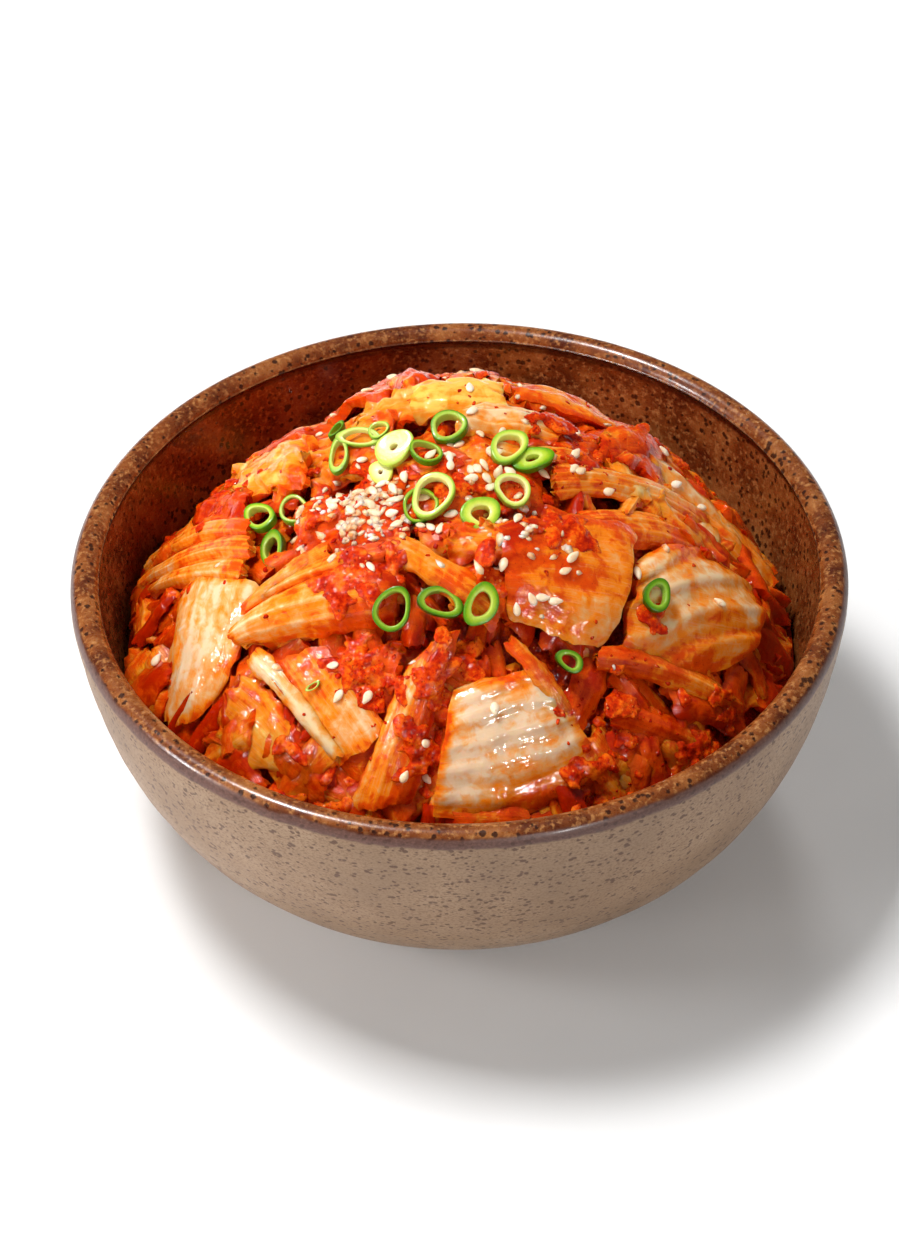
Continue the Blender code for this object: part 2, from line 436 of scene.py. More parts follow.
def bowlOutline():
    crest, lip, foot = bowlShape["crest"], bowlShape["lip"], bowlShape["foot"]
    steps, rounds = bowlShape["steps"], bowlShape["rounds"]
    points = [(0.001, 8.7), (10, 8.8), (20, 9.0), (30, 9.3)]         # the well's floor
    points += [bezier(bowlShape["inner"], i / steps) for i in range(steps + 1)]
    points += [(75.05, 59.6), (74.75, 60.1), lip, (74.15, 61.1)]
    for step in range(1, rounds):
        turn = math.pi * (1 - step / rounds) * 0.94 + 0.03
        points.append((crest[0] + crest[2] * math.cos(turn), crest[1] + crest[3] * math.sin(turn)))
    points += [bezier(bowlShape["outer"], i / steps) for i in range(steps + 1)]
    points += [(49.7, 0.35), (49.2, 0.05), (48.6, 0.0), (46.5, 0.0), (45.6, 0.1), (45.1, 0.5), (44.4, 2.2)]
    points += [(43.6, 2.9), (40, foot), (20, foot), (0.001, foot)]
    return points


def makeBowl():
    clearSelection()
    bpy.ops.mesh.primitive_circle_add(vertices=3, radius=0.01)
    bowl = bpy.context.object
    bpy.ops.object.mode_set(mode="EDIT")
    bpy.ops.mesh.delete(type="VERT")
    bpy.ops.object.mode_set(mode="OBJECT")
    outline = bowlOutline()
    edges = [(i, i + 1) for i in range(len(outline) - 1)]
    bowl.data.from_pydata([(x * mm, 0.0, z * mm) for x, z in outline], edges, [])
    bpy.ops.object.mode_set(mode="EDIT")
    bpy.ops.mesh.select_all(action="SELECT")
    bpy.ops.mesh.spin(steps=bowlShape["turns"], angle=math.tau, center=(0, 0, 0), axis=(0, 0, 1))
    bpy.ops.mesh.select_all(action="SELECT")
    bpy.ops.mesh.remove_doubles(threshold=0.00001)
    bpy.ops.mesh.normals_make_consistent(inside=False)
    bpy.ops.object.mode_set(mode="OBJECT")
    for vertex in bowl.data.vertices:
        x, y, z = vertex.co / mm
        reach = math.hypot(x, y)
        if reach < 30:
            continue
        ripple = noise.noise((x * 0.012, y * 0.012, z * 0.25)) * bowlShape["throwing"]
        ripple += 0.06 * math.sin(z * 1.1 + 0.8 * math.atan2(y, x)) * ease(2, 8, z) * (1 - ease(52, 58, z))
        sway = 0.10 * noise.noise((x * 0.03, y * 0.03, 5.0)) * ease(56, 62, z)
        vertex.co.x += x / reach * ripple * mm
        vertex.co.y += y / reach * ripple * mm
        vertex.co.z += sway * mm
    bpy.ops.object.shade_smooth()
    # red is 1 on the outer side: under the well, close to the outer curve, and on the rim only outside its crest
    sides = []
    for vertex in bowl.data.vertices:
        x, y, z = vertex.co / mm
        reach = math.hypot(x, y)
        outside = z < 8 or reach > wallRadius("outer", z) - 2.2 and reach > (37.3 if z < 58 else 77.3)
        sides.append((float(outside), 0, 0, 1))
    paintLook(bowl, sides)
    bowl.name = "thrownBowl"
    return bowl


sheet = {
    "wall": 6.0,        # the most that cut cabbage can be thick
    "least": 0.05,      # the least, as a share of that
    "smooth": 52,       # the angle in degrees past which an edge stays sharp
    "gap": 0.4,         # what stays free at the bowl's wall
    "press": 2.0,       # how far from the wall a piece starts to give way
}
blanks = {}


def freshBlank(name, grid):
    # a flat sheet, modelled once for each fineness and copied with its own mesh
    if grid not in blanks:
        clearSelection()
        bpy.ops.mesh.primitive_grid_add(x_subdivisions=grid[0], y_subdivisions=grid[1], size=2)
        blanks[grid] = bpy.context.object
    piece = blanks[grid].copy()
    piece.data = blanks[grid].data.copy()
    piece.name = name
    scene.collection.objects.link(piece)
    return piece


# corners go round the piece as (x, y, lift over the heap): the two at the stem end, then the two at the far end;
# sauce is how soaked those four corners are; ribs are (number, depth, slant, sharpness); bow swells the four edges
def shapeLeaf(name, corners, sauce=(0.4, 0.4, 0.4, 0.4), ribs=(3, 0.4, 0.0, 1.5), arch=1.0, droop=0.5,
              bow=(0, 0, 0, 0), crumple=0.35, ruffle=0.0, ragged=0.7, thick=1.8, leafy=0.2, blunt=0.12,
              grid=(46, 32), curl=(0, 0), taper=(1.0, 1.0), rind=0.3, pale=0.0):
    seed = sum(ord(letter) * (i + 3) for i, letter in enumerate(name)) * 0.137 % 97
    piece = freshBlank(name, grid)
    a, b, c, d = [Vector(corner) for corner in corners]
    endwise = (c + d - a - b) / 2
    across = (b + c - a - d) / 2
    endwise.z = across.z = 0
    length, width = endwise.length, across.length
    endwise.normalize()
    across.normalize()
    colours = []
    weights = []
    for vertex in piece.data.vertices:
        w, v = vertex.co.x, vertex.co.y
        rough = noise.noise((w * 2.3 + seed, v * 2.3, seed))
        fineRough = noise.noise((w * 6.0 + seed, v * 6.0, seed + 4))
        w2 = w * (1 - blunt * 0.42 * abs(v) ** 7)
        v2 = v * (1 - blunt * 0.42 * abs(w) ** 7)
        w2 += math.copysign(abs(w) ** 6, w) * (rough + fineRough * 0.5) * ragged * 2.6 / length
        v2 += math.copysign(abs(v) ** 6, v) * (rough - fineRough * 0.5) * ragged * 2.6 / width
        share = (w2 + 1) / 2
        v2 *= taper[0] + (taper[1] - taper[0]) * share
        side = (v2 + 1) / 2
        spot = (a * (1 - side) + b * side) * (1 - share) + (d * (1 - side) + c * side) * share
        spot += endwise * (bow[1] * share ** 2 - bow[0] * (1 - share) ** 2) * (1 - v * v)
        spot += across * (bow[3] * side ** 2 - bow[2] * (1 - side) ** 2) * (1 - w * w)
        # ribs run lengthwise, wander and spread a little
        warp = 0.13 * noise.noise((w * 0.8 + seed, v * 1.7, seed + 9))
        q = v * (1 - 0.1 * w) + ribs[2] * w + warp
        wave = 0.5 + 0.5 * math.cos(math.pi * ribs[0] * q + seed)
        vein = (0.5 + 0.5 * math.cos(math.pi * ribs[0] * 2.3 * (q + 0.06 * rough) + seed * 2)) ** ribs[3]
        ridge = 0.45 * wave + 0.55 * vein
        height = ribs[1] * (0.42 * wave + 0.18 * vein - 0.3)
        height += arch * (1 - v * v) - droop * (abs(v) ** 5 + 0.8 * abs(w) ** 7)
        height += crumple * (1.3 * noise.noise((spot.x * 0.14, spot.y * 0.14, seed)) +
                             0.6 * noise.noise((spot.x * 0.4, spot.y * 0.4, seed + 2)))
        edge = max(abs(v) ** 3, abs(w) ** 5)
        height += ruffle * edge * math.sin(0.37 * (w * length + v * width) + 3 * rough + seed)
        height += curl[0] * max(-v, 0) ** 2.5 + curl[1] * max(v, 0) ** 2.5
        top = Vector((spot.x, spot.y, heapHeight(spot.x, spot.y) + spot.z)) + heapNormal(spot.x, spot.y) * height
        vertex.co = top * mm
        soaked = ((sauce[0] * (1 - side) + sauce[1] * side) * (1 - share) +
                  (sauce[3] * (1 - side) + sauce[2] * side) * share)
        margin = max(ease(0.72, 1.0, abs(v)), ease(0.82, 1.0, abs(w)))
        soaked += margin * rind * max(0.0, 1 - soaked) - pale * (1 - margin) * (1 - abs(v))
        colours.append((soaked, ridge, leafy, 1.0))
        weights.append(thick / sheet["wall"] * (1 - 0.35 * leafy * abs(v)) * (0.85 + 0.3 * ridge))
    paintLook(piece, colours)
    body = piece.vertex_groups.new(name="body")
    for index, weight in enumerate(weights):
        body.add([index], min(weight, 1.0), "REPLACE")
    return piece


def keepInside(piece):
    # what would reach into the bowl's wall is pressed up against it
    press = sheet["press"]
    walls = [wallRadius("inner", height) - sheet["gap"] for height in range(60)]
    for vertex in piece.data.vertices:
        x, y, z = vertex.co / mm
        level = min(max(z, 0), 58.9)
        below = int(level)
        wall = walls[below] + (walls[below + 1] - walls[below]) * (level - below) - press
        reach = math.hypot(x, y)
        if reach > wall and z < 63:
            share = (wall + press * (1 - math.exp((wall - reach) / press))) / reach
            vertex.co.x *= share
            vertex.co.y *= share


def thicken(parts, name):
    # one body from several sheets, each as thick as its corners were weighted
    group = joinPieces(parts, name)
    solid = group.modifiers.new("wall", "SOLIDIFY")
    solid.thickness = sheet["wall"] * mm
    solid.offset = -1.0
    solid.vertex_group = "body"
    solid.thickness_vertex_group = sheet["least"]
    applyAll(group)
    keepInside(group)
    group.vertex_groups.clear()
    selectOnly(group)
    bpy.ops.object.shade_smooth_by_angle(angle=math.radians(sheet["smooth"]))
    return group


# in front, from left to right, and the folded stem over them
frontLeaves = {
    "leftLeaf": dict(corners=((-57, -6, 2.5), (-39, -22, 3.5), (-46, -36.5, 2), (-63, -29, 2)),
        sauce=(0.3, 0.16, 0.36, 0.24), ribs=(3, 0.3, 0.05, 2), arch=1.2, bow=(0, 3, 0, 1), pale=0.12, leafy=0.1,
        taper=(1.0, 0.8)),
    "lowerLeaf": dict(corners=((-48.5, -38.5, 0), (-42.5, -33.5, 1), (-27, -53, 1), (-35.5, -52, 0)),
        sauce=(0.45, 0.4, 0.25, 0.35), ribs=(2, 0.3, 0, 1), leafy=0.9, ruffle=0.6, thick=1.6, crumple=0.7,
        bow=(0, 1, 2, 0)),
    "splitStem": dict(corners=((-42.5, -34.5, 3), (-39.5, -33, 4), (-22.5, -54, 3), (-25.5, -54.5, 3)),
        sauce=(0.2, 0.3, 0.3, 0.3), ribs=(1, 0.3, 0, 1), arch=0.8, thick=2.6, grid=(46, 12), pale=0.2),
    "splitWide": dict(corners=((-38, -36, 2), (-26, -38, 3), (-14, -52.5, 3), (-24, -55, 2)),
        sauce=(0.7, 0.45, 0.3, 0.35), ribs=(3, 0.5, 0, 2), arch=1.2, thick=2.4, pale=0.1),
    "redFold": dict(corners=((-23, -46, 1), (-23.5, -38.5, 2), (-10.5, -41, 3), (-14, -49, 1)),
        sauce=(0.75, 0.7, 0.6, 0.8), ribs=(2, 0.6, 0, 1), crumple=1.4, ruffle=1.0, ragged=0.8, thick=2.0, leafy=0.6),
    "centreStick": dict(corners=((-10.5, -45, 4), (1, -39.5, 5), (-10, -62.5, 3), (-22, -61, 3)),
        sauce=(0.3, 0.8, 0.85, 0.35), ribs=(3, 0.7, 0.05, 1.5), arch=1.6, thick=3.0, pale=0.1),
    "frontSquare": dict(corners=((-6, -64.5, 4), (-1.5, -48.5, 4), (15.5, -44.5, 4), (27.5, -54.5, 3)),
        sauce=(0.3, 0.2, 0.3, 0.5), rind=0.35, ribs=(5, 1.0, 0.0, 3), arch=0.9, thick=2.4, bow=(0, 0, 4, 0),
        droop=0.3, pale=0.3, leafy=0.0, blunt=0.04, ragged=0.4),
    "frontStrand": dict(corners=((8.5, -43, 5), (10.5, -40.5, 5), (22, -48, 4), (19.5, -51, 4)),
        sauce=(0.6, 0.5, 0.5, 0.5), ribs=(1, 0.3, 0, 1), thick=1.6, grid=(34, 8)),
    "rimBit": dict(corners=((-32.5, -55, 0), (-31.5, -52.5, 0), (-21.5, -57, 0), (-23, -59.5, 0)),
        sauce=(0.5, 0.6, 0.5, 0.4), grid=(28, 12)),
    "lowRight": dict(corners=((19, -58, 0), (26, -51.5, 0), (37.5, -49.5, -1), (32.5, -56, -1)),
        sauce=(0.8, 0.7, 0.7, 0.8), crumple=0.8, grid=(40, 26)),
    "foldedStem": dict(corners=((-43.5, -31.5, 4), (-44.5, -27, 5), (-10, -30, 5), (-13, -38.5, 4)),
        sauce=(0.15, 0.15, 0.75, 0.85), ribs=(3, 0.6, 0.0, 2), arch=2.8, droop=2.0, thick=4.6, bow=(1, 0, 1, 2),
        pale=0.15),
}
# the middle row and the fan on the left flank
sideLeaves = {
    "upperRib": dict(corners=((-42.5, -26.5, 4), (-43, -23.5, 4), (-26.5, -21, 5), (-24.5, -25.5, 5)),
        sauce=(0.35, 0.4, 0.5, 0.5), ribs=(1, 0.4, 0, 1), arch=1.2, thick=2.6, grid=(40, 12)),
    "upperPleat": dict(corners=((-38, -26.5, 4), (-39.5, -24, 4), (-14.5, -24.5, 5), (-13.5, -29.5, 5)),
        sauce=(0.3, 0.4, 0.8, 0.7), ribs=(2, 0.6, 0, 1.5), arch=1.4, thick=2.6, grid=(44, 16), pale=0.2),
    "centreStem": dict(corners=((-15, -27.5, 5), (-12, -23.5, 5), (9.5, -36, 5), (6.5, -40.5, 4)),
        sauce=(0.6, 0.5, 0.5, 0.6), ribs=(2, 0.5, 0, 1), arch=1.6, thick=3.0, grid=(44, 16)),
    "rightFlap": dict(corners=((9, -38.5, 4), (7.5, -22.5, 5), (35.5, -13, 5), (28.5, -39, 4)),
        sauce=(0.5, 1.0, 0.5, 0.3), ribs=(3, 0.9, 0.1, 1.5), arch=2.0, thick=2.8, rind=0.0, bow=(0, 1, 0, 0)),
    "centreFold": dict(corners=((-2, -37, 2), (-1, -28, 2.5), (12, -29, 3), (11, -37.5, 2.5)),
        sauce=(0.75, 0.6, 0.6, 0.7), ribs=(2, 0.8, 0.1, 1), crumple=1.5, ruffle=1.2, leafy=0.6),
    "raggedFold": dict(corners=((-2, -30, 5), (-2, -22, 3), (16.5, -19, 3.5), (15, -29.5, 5)),
        sauce=(0.65, 0.6, 0.6, 0.65), ribs=(2, 0.6, 0, 1), crumple=1.6, ruffle=1.6, ragged=1.0, leafy=0.8, thick=1.6),
    "rightRib": dict(corners=((31, -38, 3), (35.5, -18.5, 4), (60.5, -2, 3), (56, -25.5, 3)),
        sauce=(0.42, 0.26, 0.38, 0.55), ribs=(3, 1.8, -0.5, 1.2), arch=2.0, thick=2.2, bow=(0, 4, 4, 4), pale=0.2),
    "rightUnder": dict(corners=((58.5, -20.5, -1), (62, -2, -1), (70, 3, -2), (67, -15, -2)),
        sauce=(0.45, 0.35, 0.4, 0.5), ribs=(2, 0.4, 0, 1), leafy=0.9, ruffle=0.8, thick=1.6),
    "rightStickTop": dict(corners=((26, -42, 3), (27.5, -37.5, 4), (56.5, -30, 2), (55, -34.5, 2)),
        sauce=(0.75, 0.6, 0.4, 0.55), ribs=(2, 0.6, 0, 1), arch=1.6, thick=3.0, grid=(46, 16)),
    "rightStickLow": dict(corners=((28.5, -48, 1), (30, -43.5, 2), (53, -39, 0), (49.5, -45.5, 0)),
        sauce=(0.8, 0.75, 0.6, 0.7), ribs=(2, 0.6, 0, 1), arch=1.6, thick=2.6, grid=(44, 16)),
    "fanUpper": dict(corners=((-67, 14, 2), (-65, 18, 2), (-41.5, -5, 3.5), (-42, -10.5, 3)),
        sauce=(0.5, 0.45, 0.5, 0.4), ribs=(2, 0.5, 0, 1), arch=1.4, thick=2.0),
    "fanMiddle": dict(corners=((-68, 7, 1.5), (-67, 13, 1.5), (-41, -10.5, 4), (-42, -15.5, 4)),
        sauce=(0.4, 0.45, 0.45, 0.35), ribs=(3, 0.6, 0, 1), arch=1.4, thick=2.0, taper=(0.8, 1.1)),
    "fanLower": dict(corners=((-64, 0, 1), (-65, 6, 1), (-42, -15.5, 4), (-44, -19.5, 4)),
        sauce=(0.4, 0.4, 0.35, 0.4), ribs=(2, 0.5, 0, 1), arch=1.4, thick=2.0, taper=(0.8, 1.1)),
}
# the back of the left flank, the crown and the bands down its right side
crownLeaves = {
    "leftCurl": dict(corners=((-68, 6, 0), (-64, 1, 0), (-63, -12, 0), (-69, -4, -1)), sauce=(0.6, 0.5, 0.45, 0.6),
        ribs=(2, 0.5, 0, 1), leafy=0.6, ruffle=0.8, thick=2.0, grid=(34, 20)),
    "leftBackChunk": dict(corners=((-56.5, 13, 1), (-51.5, 20, 2), (-42, 4, 3), (-43, -6, 3)),
        sauce=(0.9, 0.85, 0.8, 0.8), ribs=(2, 0.6, 0, 1), crumple=1.2, ragged=0.8, thick=2.4),
    "leftTopLeaf": dict(corners=((-46.5, 6.5, 3), (-45.5, 28, 3), (-30, 11, 4), (-30, -6, 4)),
        sauce=(0.3, 0.15, 0.3, 0.45), ribs=(3, 0.7, 0, 1), leafy=0.9, ruffle=1.3, crumple=1.1, thick=2.0),
    "garlicBed": dict(corners=((-32.5, -19.5, 0.5), (-32, -6.5, 0.5), (-10, -12, 0.5), (-9.5, -26, 0.5)),
        sauce=(0.75, 0.65, 0.8, 0.9), ribs=(3, 0.7, 0, 1), crumple=1.4, ragged=0.8, thick=2.2),
    "crownLeft": dict(corners=((-29.5, -4, 0), (-30, 10, 1), (-14, 16, 2), (-11, -3, 1)),
        sauce=(0.5, 0.35, 0.35, 0.55), ribs=(3, 0.8, 0.1, 1), crumple=1.4, ruffle=1.2, leafy=0.7),
    "crownCurl": dict(corners=((-19, 6, 1), (-20, 15, 2), (-7, 20, 3), (-6, 10, 2)), sauce=(0.35, 0.25, 0.2, 0.35),
        ribs=(2, 0.9, 0, 1), crumple=1.5, ruffle=1.6, leafy=0.8, curl=(0, 1.2)),
    "crownMiddle": dict(corners=((-11, -20, -0.5), (-12, 3, 0.5), (15.5, 3, 0.5), (18, -16.5, -0.5)),
        sauce=(0.7, 0.45, 0.55, 0.75), ribs=(3, 0.7, 0, 1), crumple=1.6, thick=2.2),
    "summitLeaf": dict(corners=((-9, 8, 1.5), (-9, 18, 4.5), (9, 20, 4.5), (10, 9, 2)),
        sauce=(0.1, -0.15, -0.05, 0.05), ribs=(2, 0.4, 0, 1), leafy=1.0, ruffle=0.9, crumple=0.6, bow=(0, 0, 0, 2),
        arch=2.0, rind=0.15),
    "pepperCurl": dict(corners=((28, 4, 0.5), (29, 12, 3), (39, 20, 8), (40, 12, 4)), sauce=(0.75, 0.6, 0.7, 0.8),
        ribs=(1, 0.3, 0, 1), crumple=0.7, curl=(0, 1.6), grid=(28, 20)),
    "summitPale": dict(corners=((-1, 1, 2), (2, 11, 3), (22, 12, 2.5), (20, 3, 2)), sauce=(0.2, 0.05, 0.25, 0.4),
        ribs=(3, 0.9, 0.15, 1.5), crumple=0.8, pale=0.15, arch=1.8),
    "summitStrip": dict(corners=((6, -5, 1), (7, 0, 1.5), (24, 3, 1.5), (24, -2, 1)), sauce=(0.4, 0.3, 0.4, 0.6),
        ribs=(2, 0.9, 0, 1), crumple=1.0, grid=(44, 16)),
    "summitChunk": dict(corners=((13.5, -7, 0.5), (13, 14, 1.5), (29, 14.5, 0.5), (29.5, -3, 0.5)),
        sauce=(0.9, 0.7, 0.75, 0.9), ribs=(2, 0.6, 0, 1), crumple=1.6, ragged=0.8, thick=2.6),
    "bandUpper": dict(corners=((20, -11, 1.5), (18, -4, 2.5), (51, 13, 0.5), (50, 2.5, 0.5)),
        sauce=(0.4, 0.35, 0.45, 0.5), ribs=(4, 0.7, 0, 1.5), arch=1.6, thick=2.4, pale=0.05),
    "bandLower": dict(corners=((26.5, -18.5, 0.5), (23, -13, 1.5), (50.5, 3.5, 0.5), (45, -10, 0.5)),
        sauce=(0.7, 0.45, 0.4, 0.5), ribs=(3, 0.7, 0, 1.5), arch=1.6, thick=2.4),
    "bandBack": dict(corners=((37, 10, -0.5), (38, 19.5, 0.5), (56, 26, -0.5), (55, 19, -1.5)),
        sauce=(0.4, 0.45, 0.55, 0.5), ribs=(3, 0.6, 0, 1), arch=1.6, thick=2.2),
    "farRightCurl": dict(corners=((51, -3, -1.5), (54, 12, -1.5), (64, 20, -1.5), (65, 3, -3.5)),
        sauce=(0.5, 0.4, 0.45, 0.5), ribs=(3, 0.6, 0, 1), leafy=0.7, ruffle=1.0, thick=2.0),
}


def leafAt(name, x, y, heading, length, width, lift, dice, **extra):
    # a piece laid at a place on the heap, each corner raised or sunk a little
    turn = math.radians(heading)
    along = Vector((math.cos(turn), math.sin(turn))) * length / 2
    side = Vector((-math.sin(turn), math.cos(turn))) * width / 2
    corners = []
    for end, flank in ((-1, -1), (-1, 1), (1, 1), (1, -1)):
        corner = Vector((x, y)) + along * end + side * flank * dice.uniform(0.8, 1.15)
        corners.append((corner.x, corner.y, lift + dice.uniform(-1.3, 1.3)))
    return shapeLeaf(name, corners, **extra)


# number, reach, middle, lift low and high, how soaked; first the jumble under the pieces, then bits among them
# and along the wall; inner is the share of the reach that stays empty
fillers = {
    "under": dict(count=230, reach=(65.0, 65.0), middle=(0, 0), lift=(-3.2, 0.2), soaked=(0.55, 0.7, 0.8, 0.95)),
    "crown": dict(count=9, reach=(34.0, 17.0), middle=(-4, 5), lift=(-1.6, 0.2), soaked=(0.1, 0.25, 0.35, 0.5, 0.65)),
    "right": dict(count=24, reach=(17.0, 14.0), middle=(44, 10), lift=(0.0, 2.0), soaked=(0.3, 0.45, 0.6, 0.8)),
    "edge": dict(count=90, reach=(69.0, 69.0), middle=(0, 0), inner=0.88, lift=(-0.5, 1.8),
                 soaked=(0.6, 0.75, 0.9, 1.0)),
    "front": dict(count=20, reach=(44.0, 7.0), middle=(2, -50), lift=(-0.8, 0.8), soaked=(0.7, 0.8, 0.9, 1.0)),
}
# two rows round the far side, along an arc in degrees
backLeaves = {"seed": 5, "count": 17, "firstRow": 9, "reach": (40, 58), "start": 20, "arc": 140}


def makeFillers():
    dice = random.Random(11)
    pieces = []
    for place, spec in fillers.items():
        for index in range(spec["count"]):
            turn = dice.uniform(0, math.tau)
            share = math.sqrt(dice.uniform(spec.get("inner", 0.0) ** 2, 1.0))
            x = spec["middle"][0] + spec["reach"][0] * share * math.cos(turn)
            y = spec["middle"][1] + spec["reach"][1] * share * math.sin(turn)
            soaked = dice.choice(spec["soaked"])
            spread = [soaked + dice.uniform(-0.15, 0.15) for corner in range(4)]
            pieces.append(leafAt(place + str(index), x, y, dice.uniform(0, 360), dice.uniform(7, 17),
                                 dice.uniform(3, 8), dice.uniform(*spec["lift"]), dice, sauce=spread,
                                 ribs=(dice.choice((1, 2, 3)), dice.uniform(0.3, 0.8), 0, 1),
                                 arch=dice.uniform(0.4, 1.6), crumple=dice.uniform(0.5, 1.4),
                                 ruffle=dice.uniform(0, 1.2), leafy=dice.uniform(0.1, 0.9),
                                 thick=dice.uniform(1.2, 2.4), grid=(15, 9), ragged=0.6))
    return pieces


def makeBackLeaves():
    dice = random.Random(backLeaves["seed"])
    first = backLeaves["firstRow"]
    pieces = []
    for index in range(backLeaves["count"]):
        step = index % first / (first - 1)
        turn = math.radians(backLeaves["start"] + backLeaves["arc"] * step + dice.uniform(-8, 8))
        reach = backLeaves["reach"][index >= first] + dice.uniform(-5, 4)
        soaked = dice.choice((0.25, 0.4, 0.5, 0.6, 0.75))
        spread = [soaked + dice.uniform(-0.2, 0.3) for corner in range(4)]
        pieces.append(leafAt("backLeaf%02d" % index, reach * math.cos(turn), reach * math.sin(turn),
                             math.degrees(turn) + dice.uniform(-70, 70), dice.uniform(18, 30), dice.uniform(9, 17),
                             dice.uniform(0.5, 2.5), dice, sauce=spread,
                             ribs=(dice.choice((2, 3, 4)), dice.uniform(0.4, 0.9), dice.uniform(-0.2, 0.2), 1.5),
                             arch=dice.uniform(1.2, 2.6), crumple=dice.uniform(0.5, 1.2),
                             ruffle=dice.uniform(0, 1.4), leafy=dice.uniform(0.1, 0.9),
                             thick=dice.uniform(1.8, 3.4), grid=(40, 26)))
    return pieces


# the mass under the pieces, which lies a little below their surface
core = {
    "sink": 4.5, "lumps": 2.6, "segments": 200, "rings": 110,
    "meets": 38.0, "frontRise": 10.0,    # the height at which it meets the wall, and how much higher in front
    "bottom": 11.0, "gap": 0.8,          # its lowest height, and what stays free at the wall
}


def nearest(value):
    return int(math.floor(value + 0.5))


def makeCore():
    clearSelection()
    bpy.ops.mesh.primitive_uv_sphere_add(segments=core["segments"], ring_count=core["rings"], radius=1.0)
    mass = bpy.context.object
    topRings = int(core["rings"] * 0.72)
    for vertex in mass.data.vertices:
        x, y, z = vertex.co
        ring = nearest(math.acos(max(-1.0, min(1.0, z))) / math.pi * core["rings"])
        turn = math.atan2(y, x) if 0 < ring < core["rings"] else 0.0
        edge = core["meets"] + core["frontRise"] * max(-math.sin(turn), 0) ** 2
        contact = wallRadius("inner", edge) - core["gap"]
        if ring <= topRings:
            reach = contact * ring / topRings
            px, py = reach * math.cos(turn), reach * math.sin(turn)
            lumps = noise.noise((px * 0.22, py * 0.22, 1.0)) + 0.5 * noise.noise((px * 0.6, py * 0.6, 4.0))
            pz = heapHeight(px, py) - core["sink"] + core["lumps"] * lumps
            blend = ease(0.86, 1.0, ring / topRings)
            pz = max(pz, edge + 2 * lumps) * (1 - blend) + edge * blend
        else:
            down = (ring - topRings) / (core["rings"] - topRings)
            pz = edge + (core["bottom"] - edge) * min(down / 0.7, 1.0)
            reach = wallRadius("inner", pz - 0.6) - core["gap"]
            if down > 0.7:
                reach *= (1 - down) / 0.3
            px, py = reach * math.cos(turn), reach * math.sin(turn)
        vertex.co = Vector((px, py, pz)) * mm
    bpy.ops.object.shade_smooth()
    mass.name = "dressedCore"
    return mass


def surfaceFinder(pieces):
    vertices, faces = [], []
    for piece in pieces:
        start = len(vertices)
        vertices += [vertex.co.copy() for vertex in piece.data.vertices]
        faces += [[start + index for index in polygon.vertices] for polygon in piece.data.polygons]
    tree = BVHTree.FromPolygons(vertices, faces)

    def find(x, y):
        # the highest spot over x and y, in metres, and its upward normal
        spot, normal, index, distance = tree.ray_cast(Vector((x * mm, y * mm, 0.2)), Vector((0, 0, -1)))
        if spot is None:
            return Vector((x * mm, y * mm, heapHeight(x, y) * mm)), heapNormal(x, y)
        if normal.z < 0:
            normal = -normal
        return spot, normal
    return find


def stand(axis, heading):
    # a turn that stands +Z along the axis, with any heading
    return axis.to_track_quat("Z", "Y").to_matrix().to_4x4() @ Matrix.Rotation(heading, 4, "Z")


def standOn(normal, heading):
    # the same on a surface, leaned a little to upright
    return stand(normal.lerp(Vector((0, 0, 1)), 0.25).normalized(), heading)


paste = {
    "voxel": 0.42, "seed": 3, "size": (0.6, 2.1), "reach": 70,
    # x, y, spread, number of lumps
    "patches": [(5, -31, 3, 16), (-9, -56, 3.2, 34), (-5, -48, 3, 22), (-20, -34, 5, 20), (-14, -30, 3, 10),
                (-18, -43, 6, 34), (26, -56, 6, 26), (22, 6, 6, 26), (31, -45, 5, 24), (19, -22, 6, 26),
                (-22, -30, 6, 16), (-43, -50, 4, 5), (-34, -55, 4, 8), (1, -41, 4, 18), (-25, -59, 4, 12),
                (46, -45, 5, 16), (-26, -8, 8, 30), (-8, -12, 9, 30), (9, -12, 7, 20), (-48, 8, 5, 16),
                (38, -30, 3, 8), (-38, 30, 9, 20), (10, 38, 10, 24), (44, 28, 8, 18), (-8, 55, 9, 20),
                (-58, -8, 4, 8), (52, -36, 4, 12)],
}


def layCopies(models, lays, name):
    # many copies of a few small models, each with its own mesh, as one piece
    shapes = []
    for model in models:
        spots = np.array([vertex.co for vertex in model.data.vertices])
        shapes.append((spots, [list(face.vertices) for face in model.data.polygons]))
    vertices, faces, start = [], [], 0
    for pick, turn, spot in lays:
        spots, rings = shapes[pick % len(shapes)]
        matrix = np.array(turn.to_3x3())
        vertices.append(spots @ matrix.T * mm + np.array(spot))
        faces += [[start + index for index in ring] for ring in rings]
        start += len(spots)
    mesh = bpy.data.meshes.new(name)
    mesh.from_pydata(np.concatenate(vertices).tolist(), [], faces)
    piece = bpy.data.objects.new(name, mesh)
    scene.collection.objects.link(piece)
    for model in models:
        bpy.data.objects.remove(model)
    selectOnly(piece)
    bpy.ops.object.shade_smooth()
    return piece


def pebbles(count, fineness, unevenness):
    # a few uneven round models of radius 1
    models = []
    for index in range(count):
        clearSelection()
        bpy.ops.mesh.primitive_ico_sphere_add(subdivisions=fineness, radius=1.0)
        model = bpy.context.object
        for vertex in model.data.vertices:
            vertex.co *= 1 + unevenness * noise.noise(vertex.co * 1.6 + Vector((index * 7, 0, 0)))
        models.append(model)
    return models


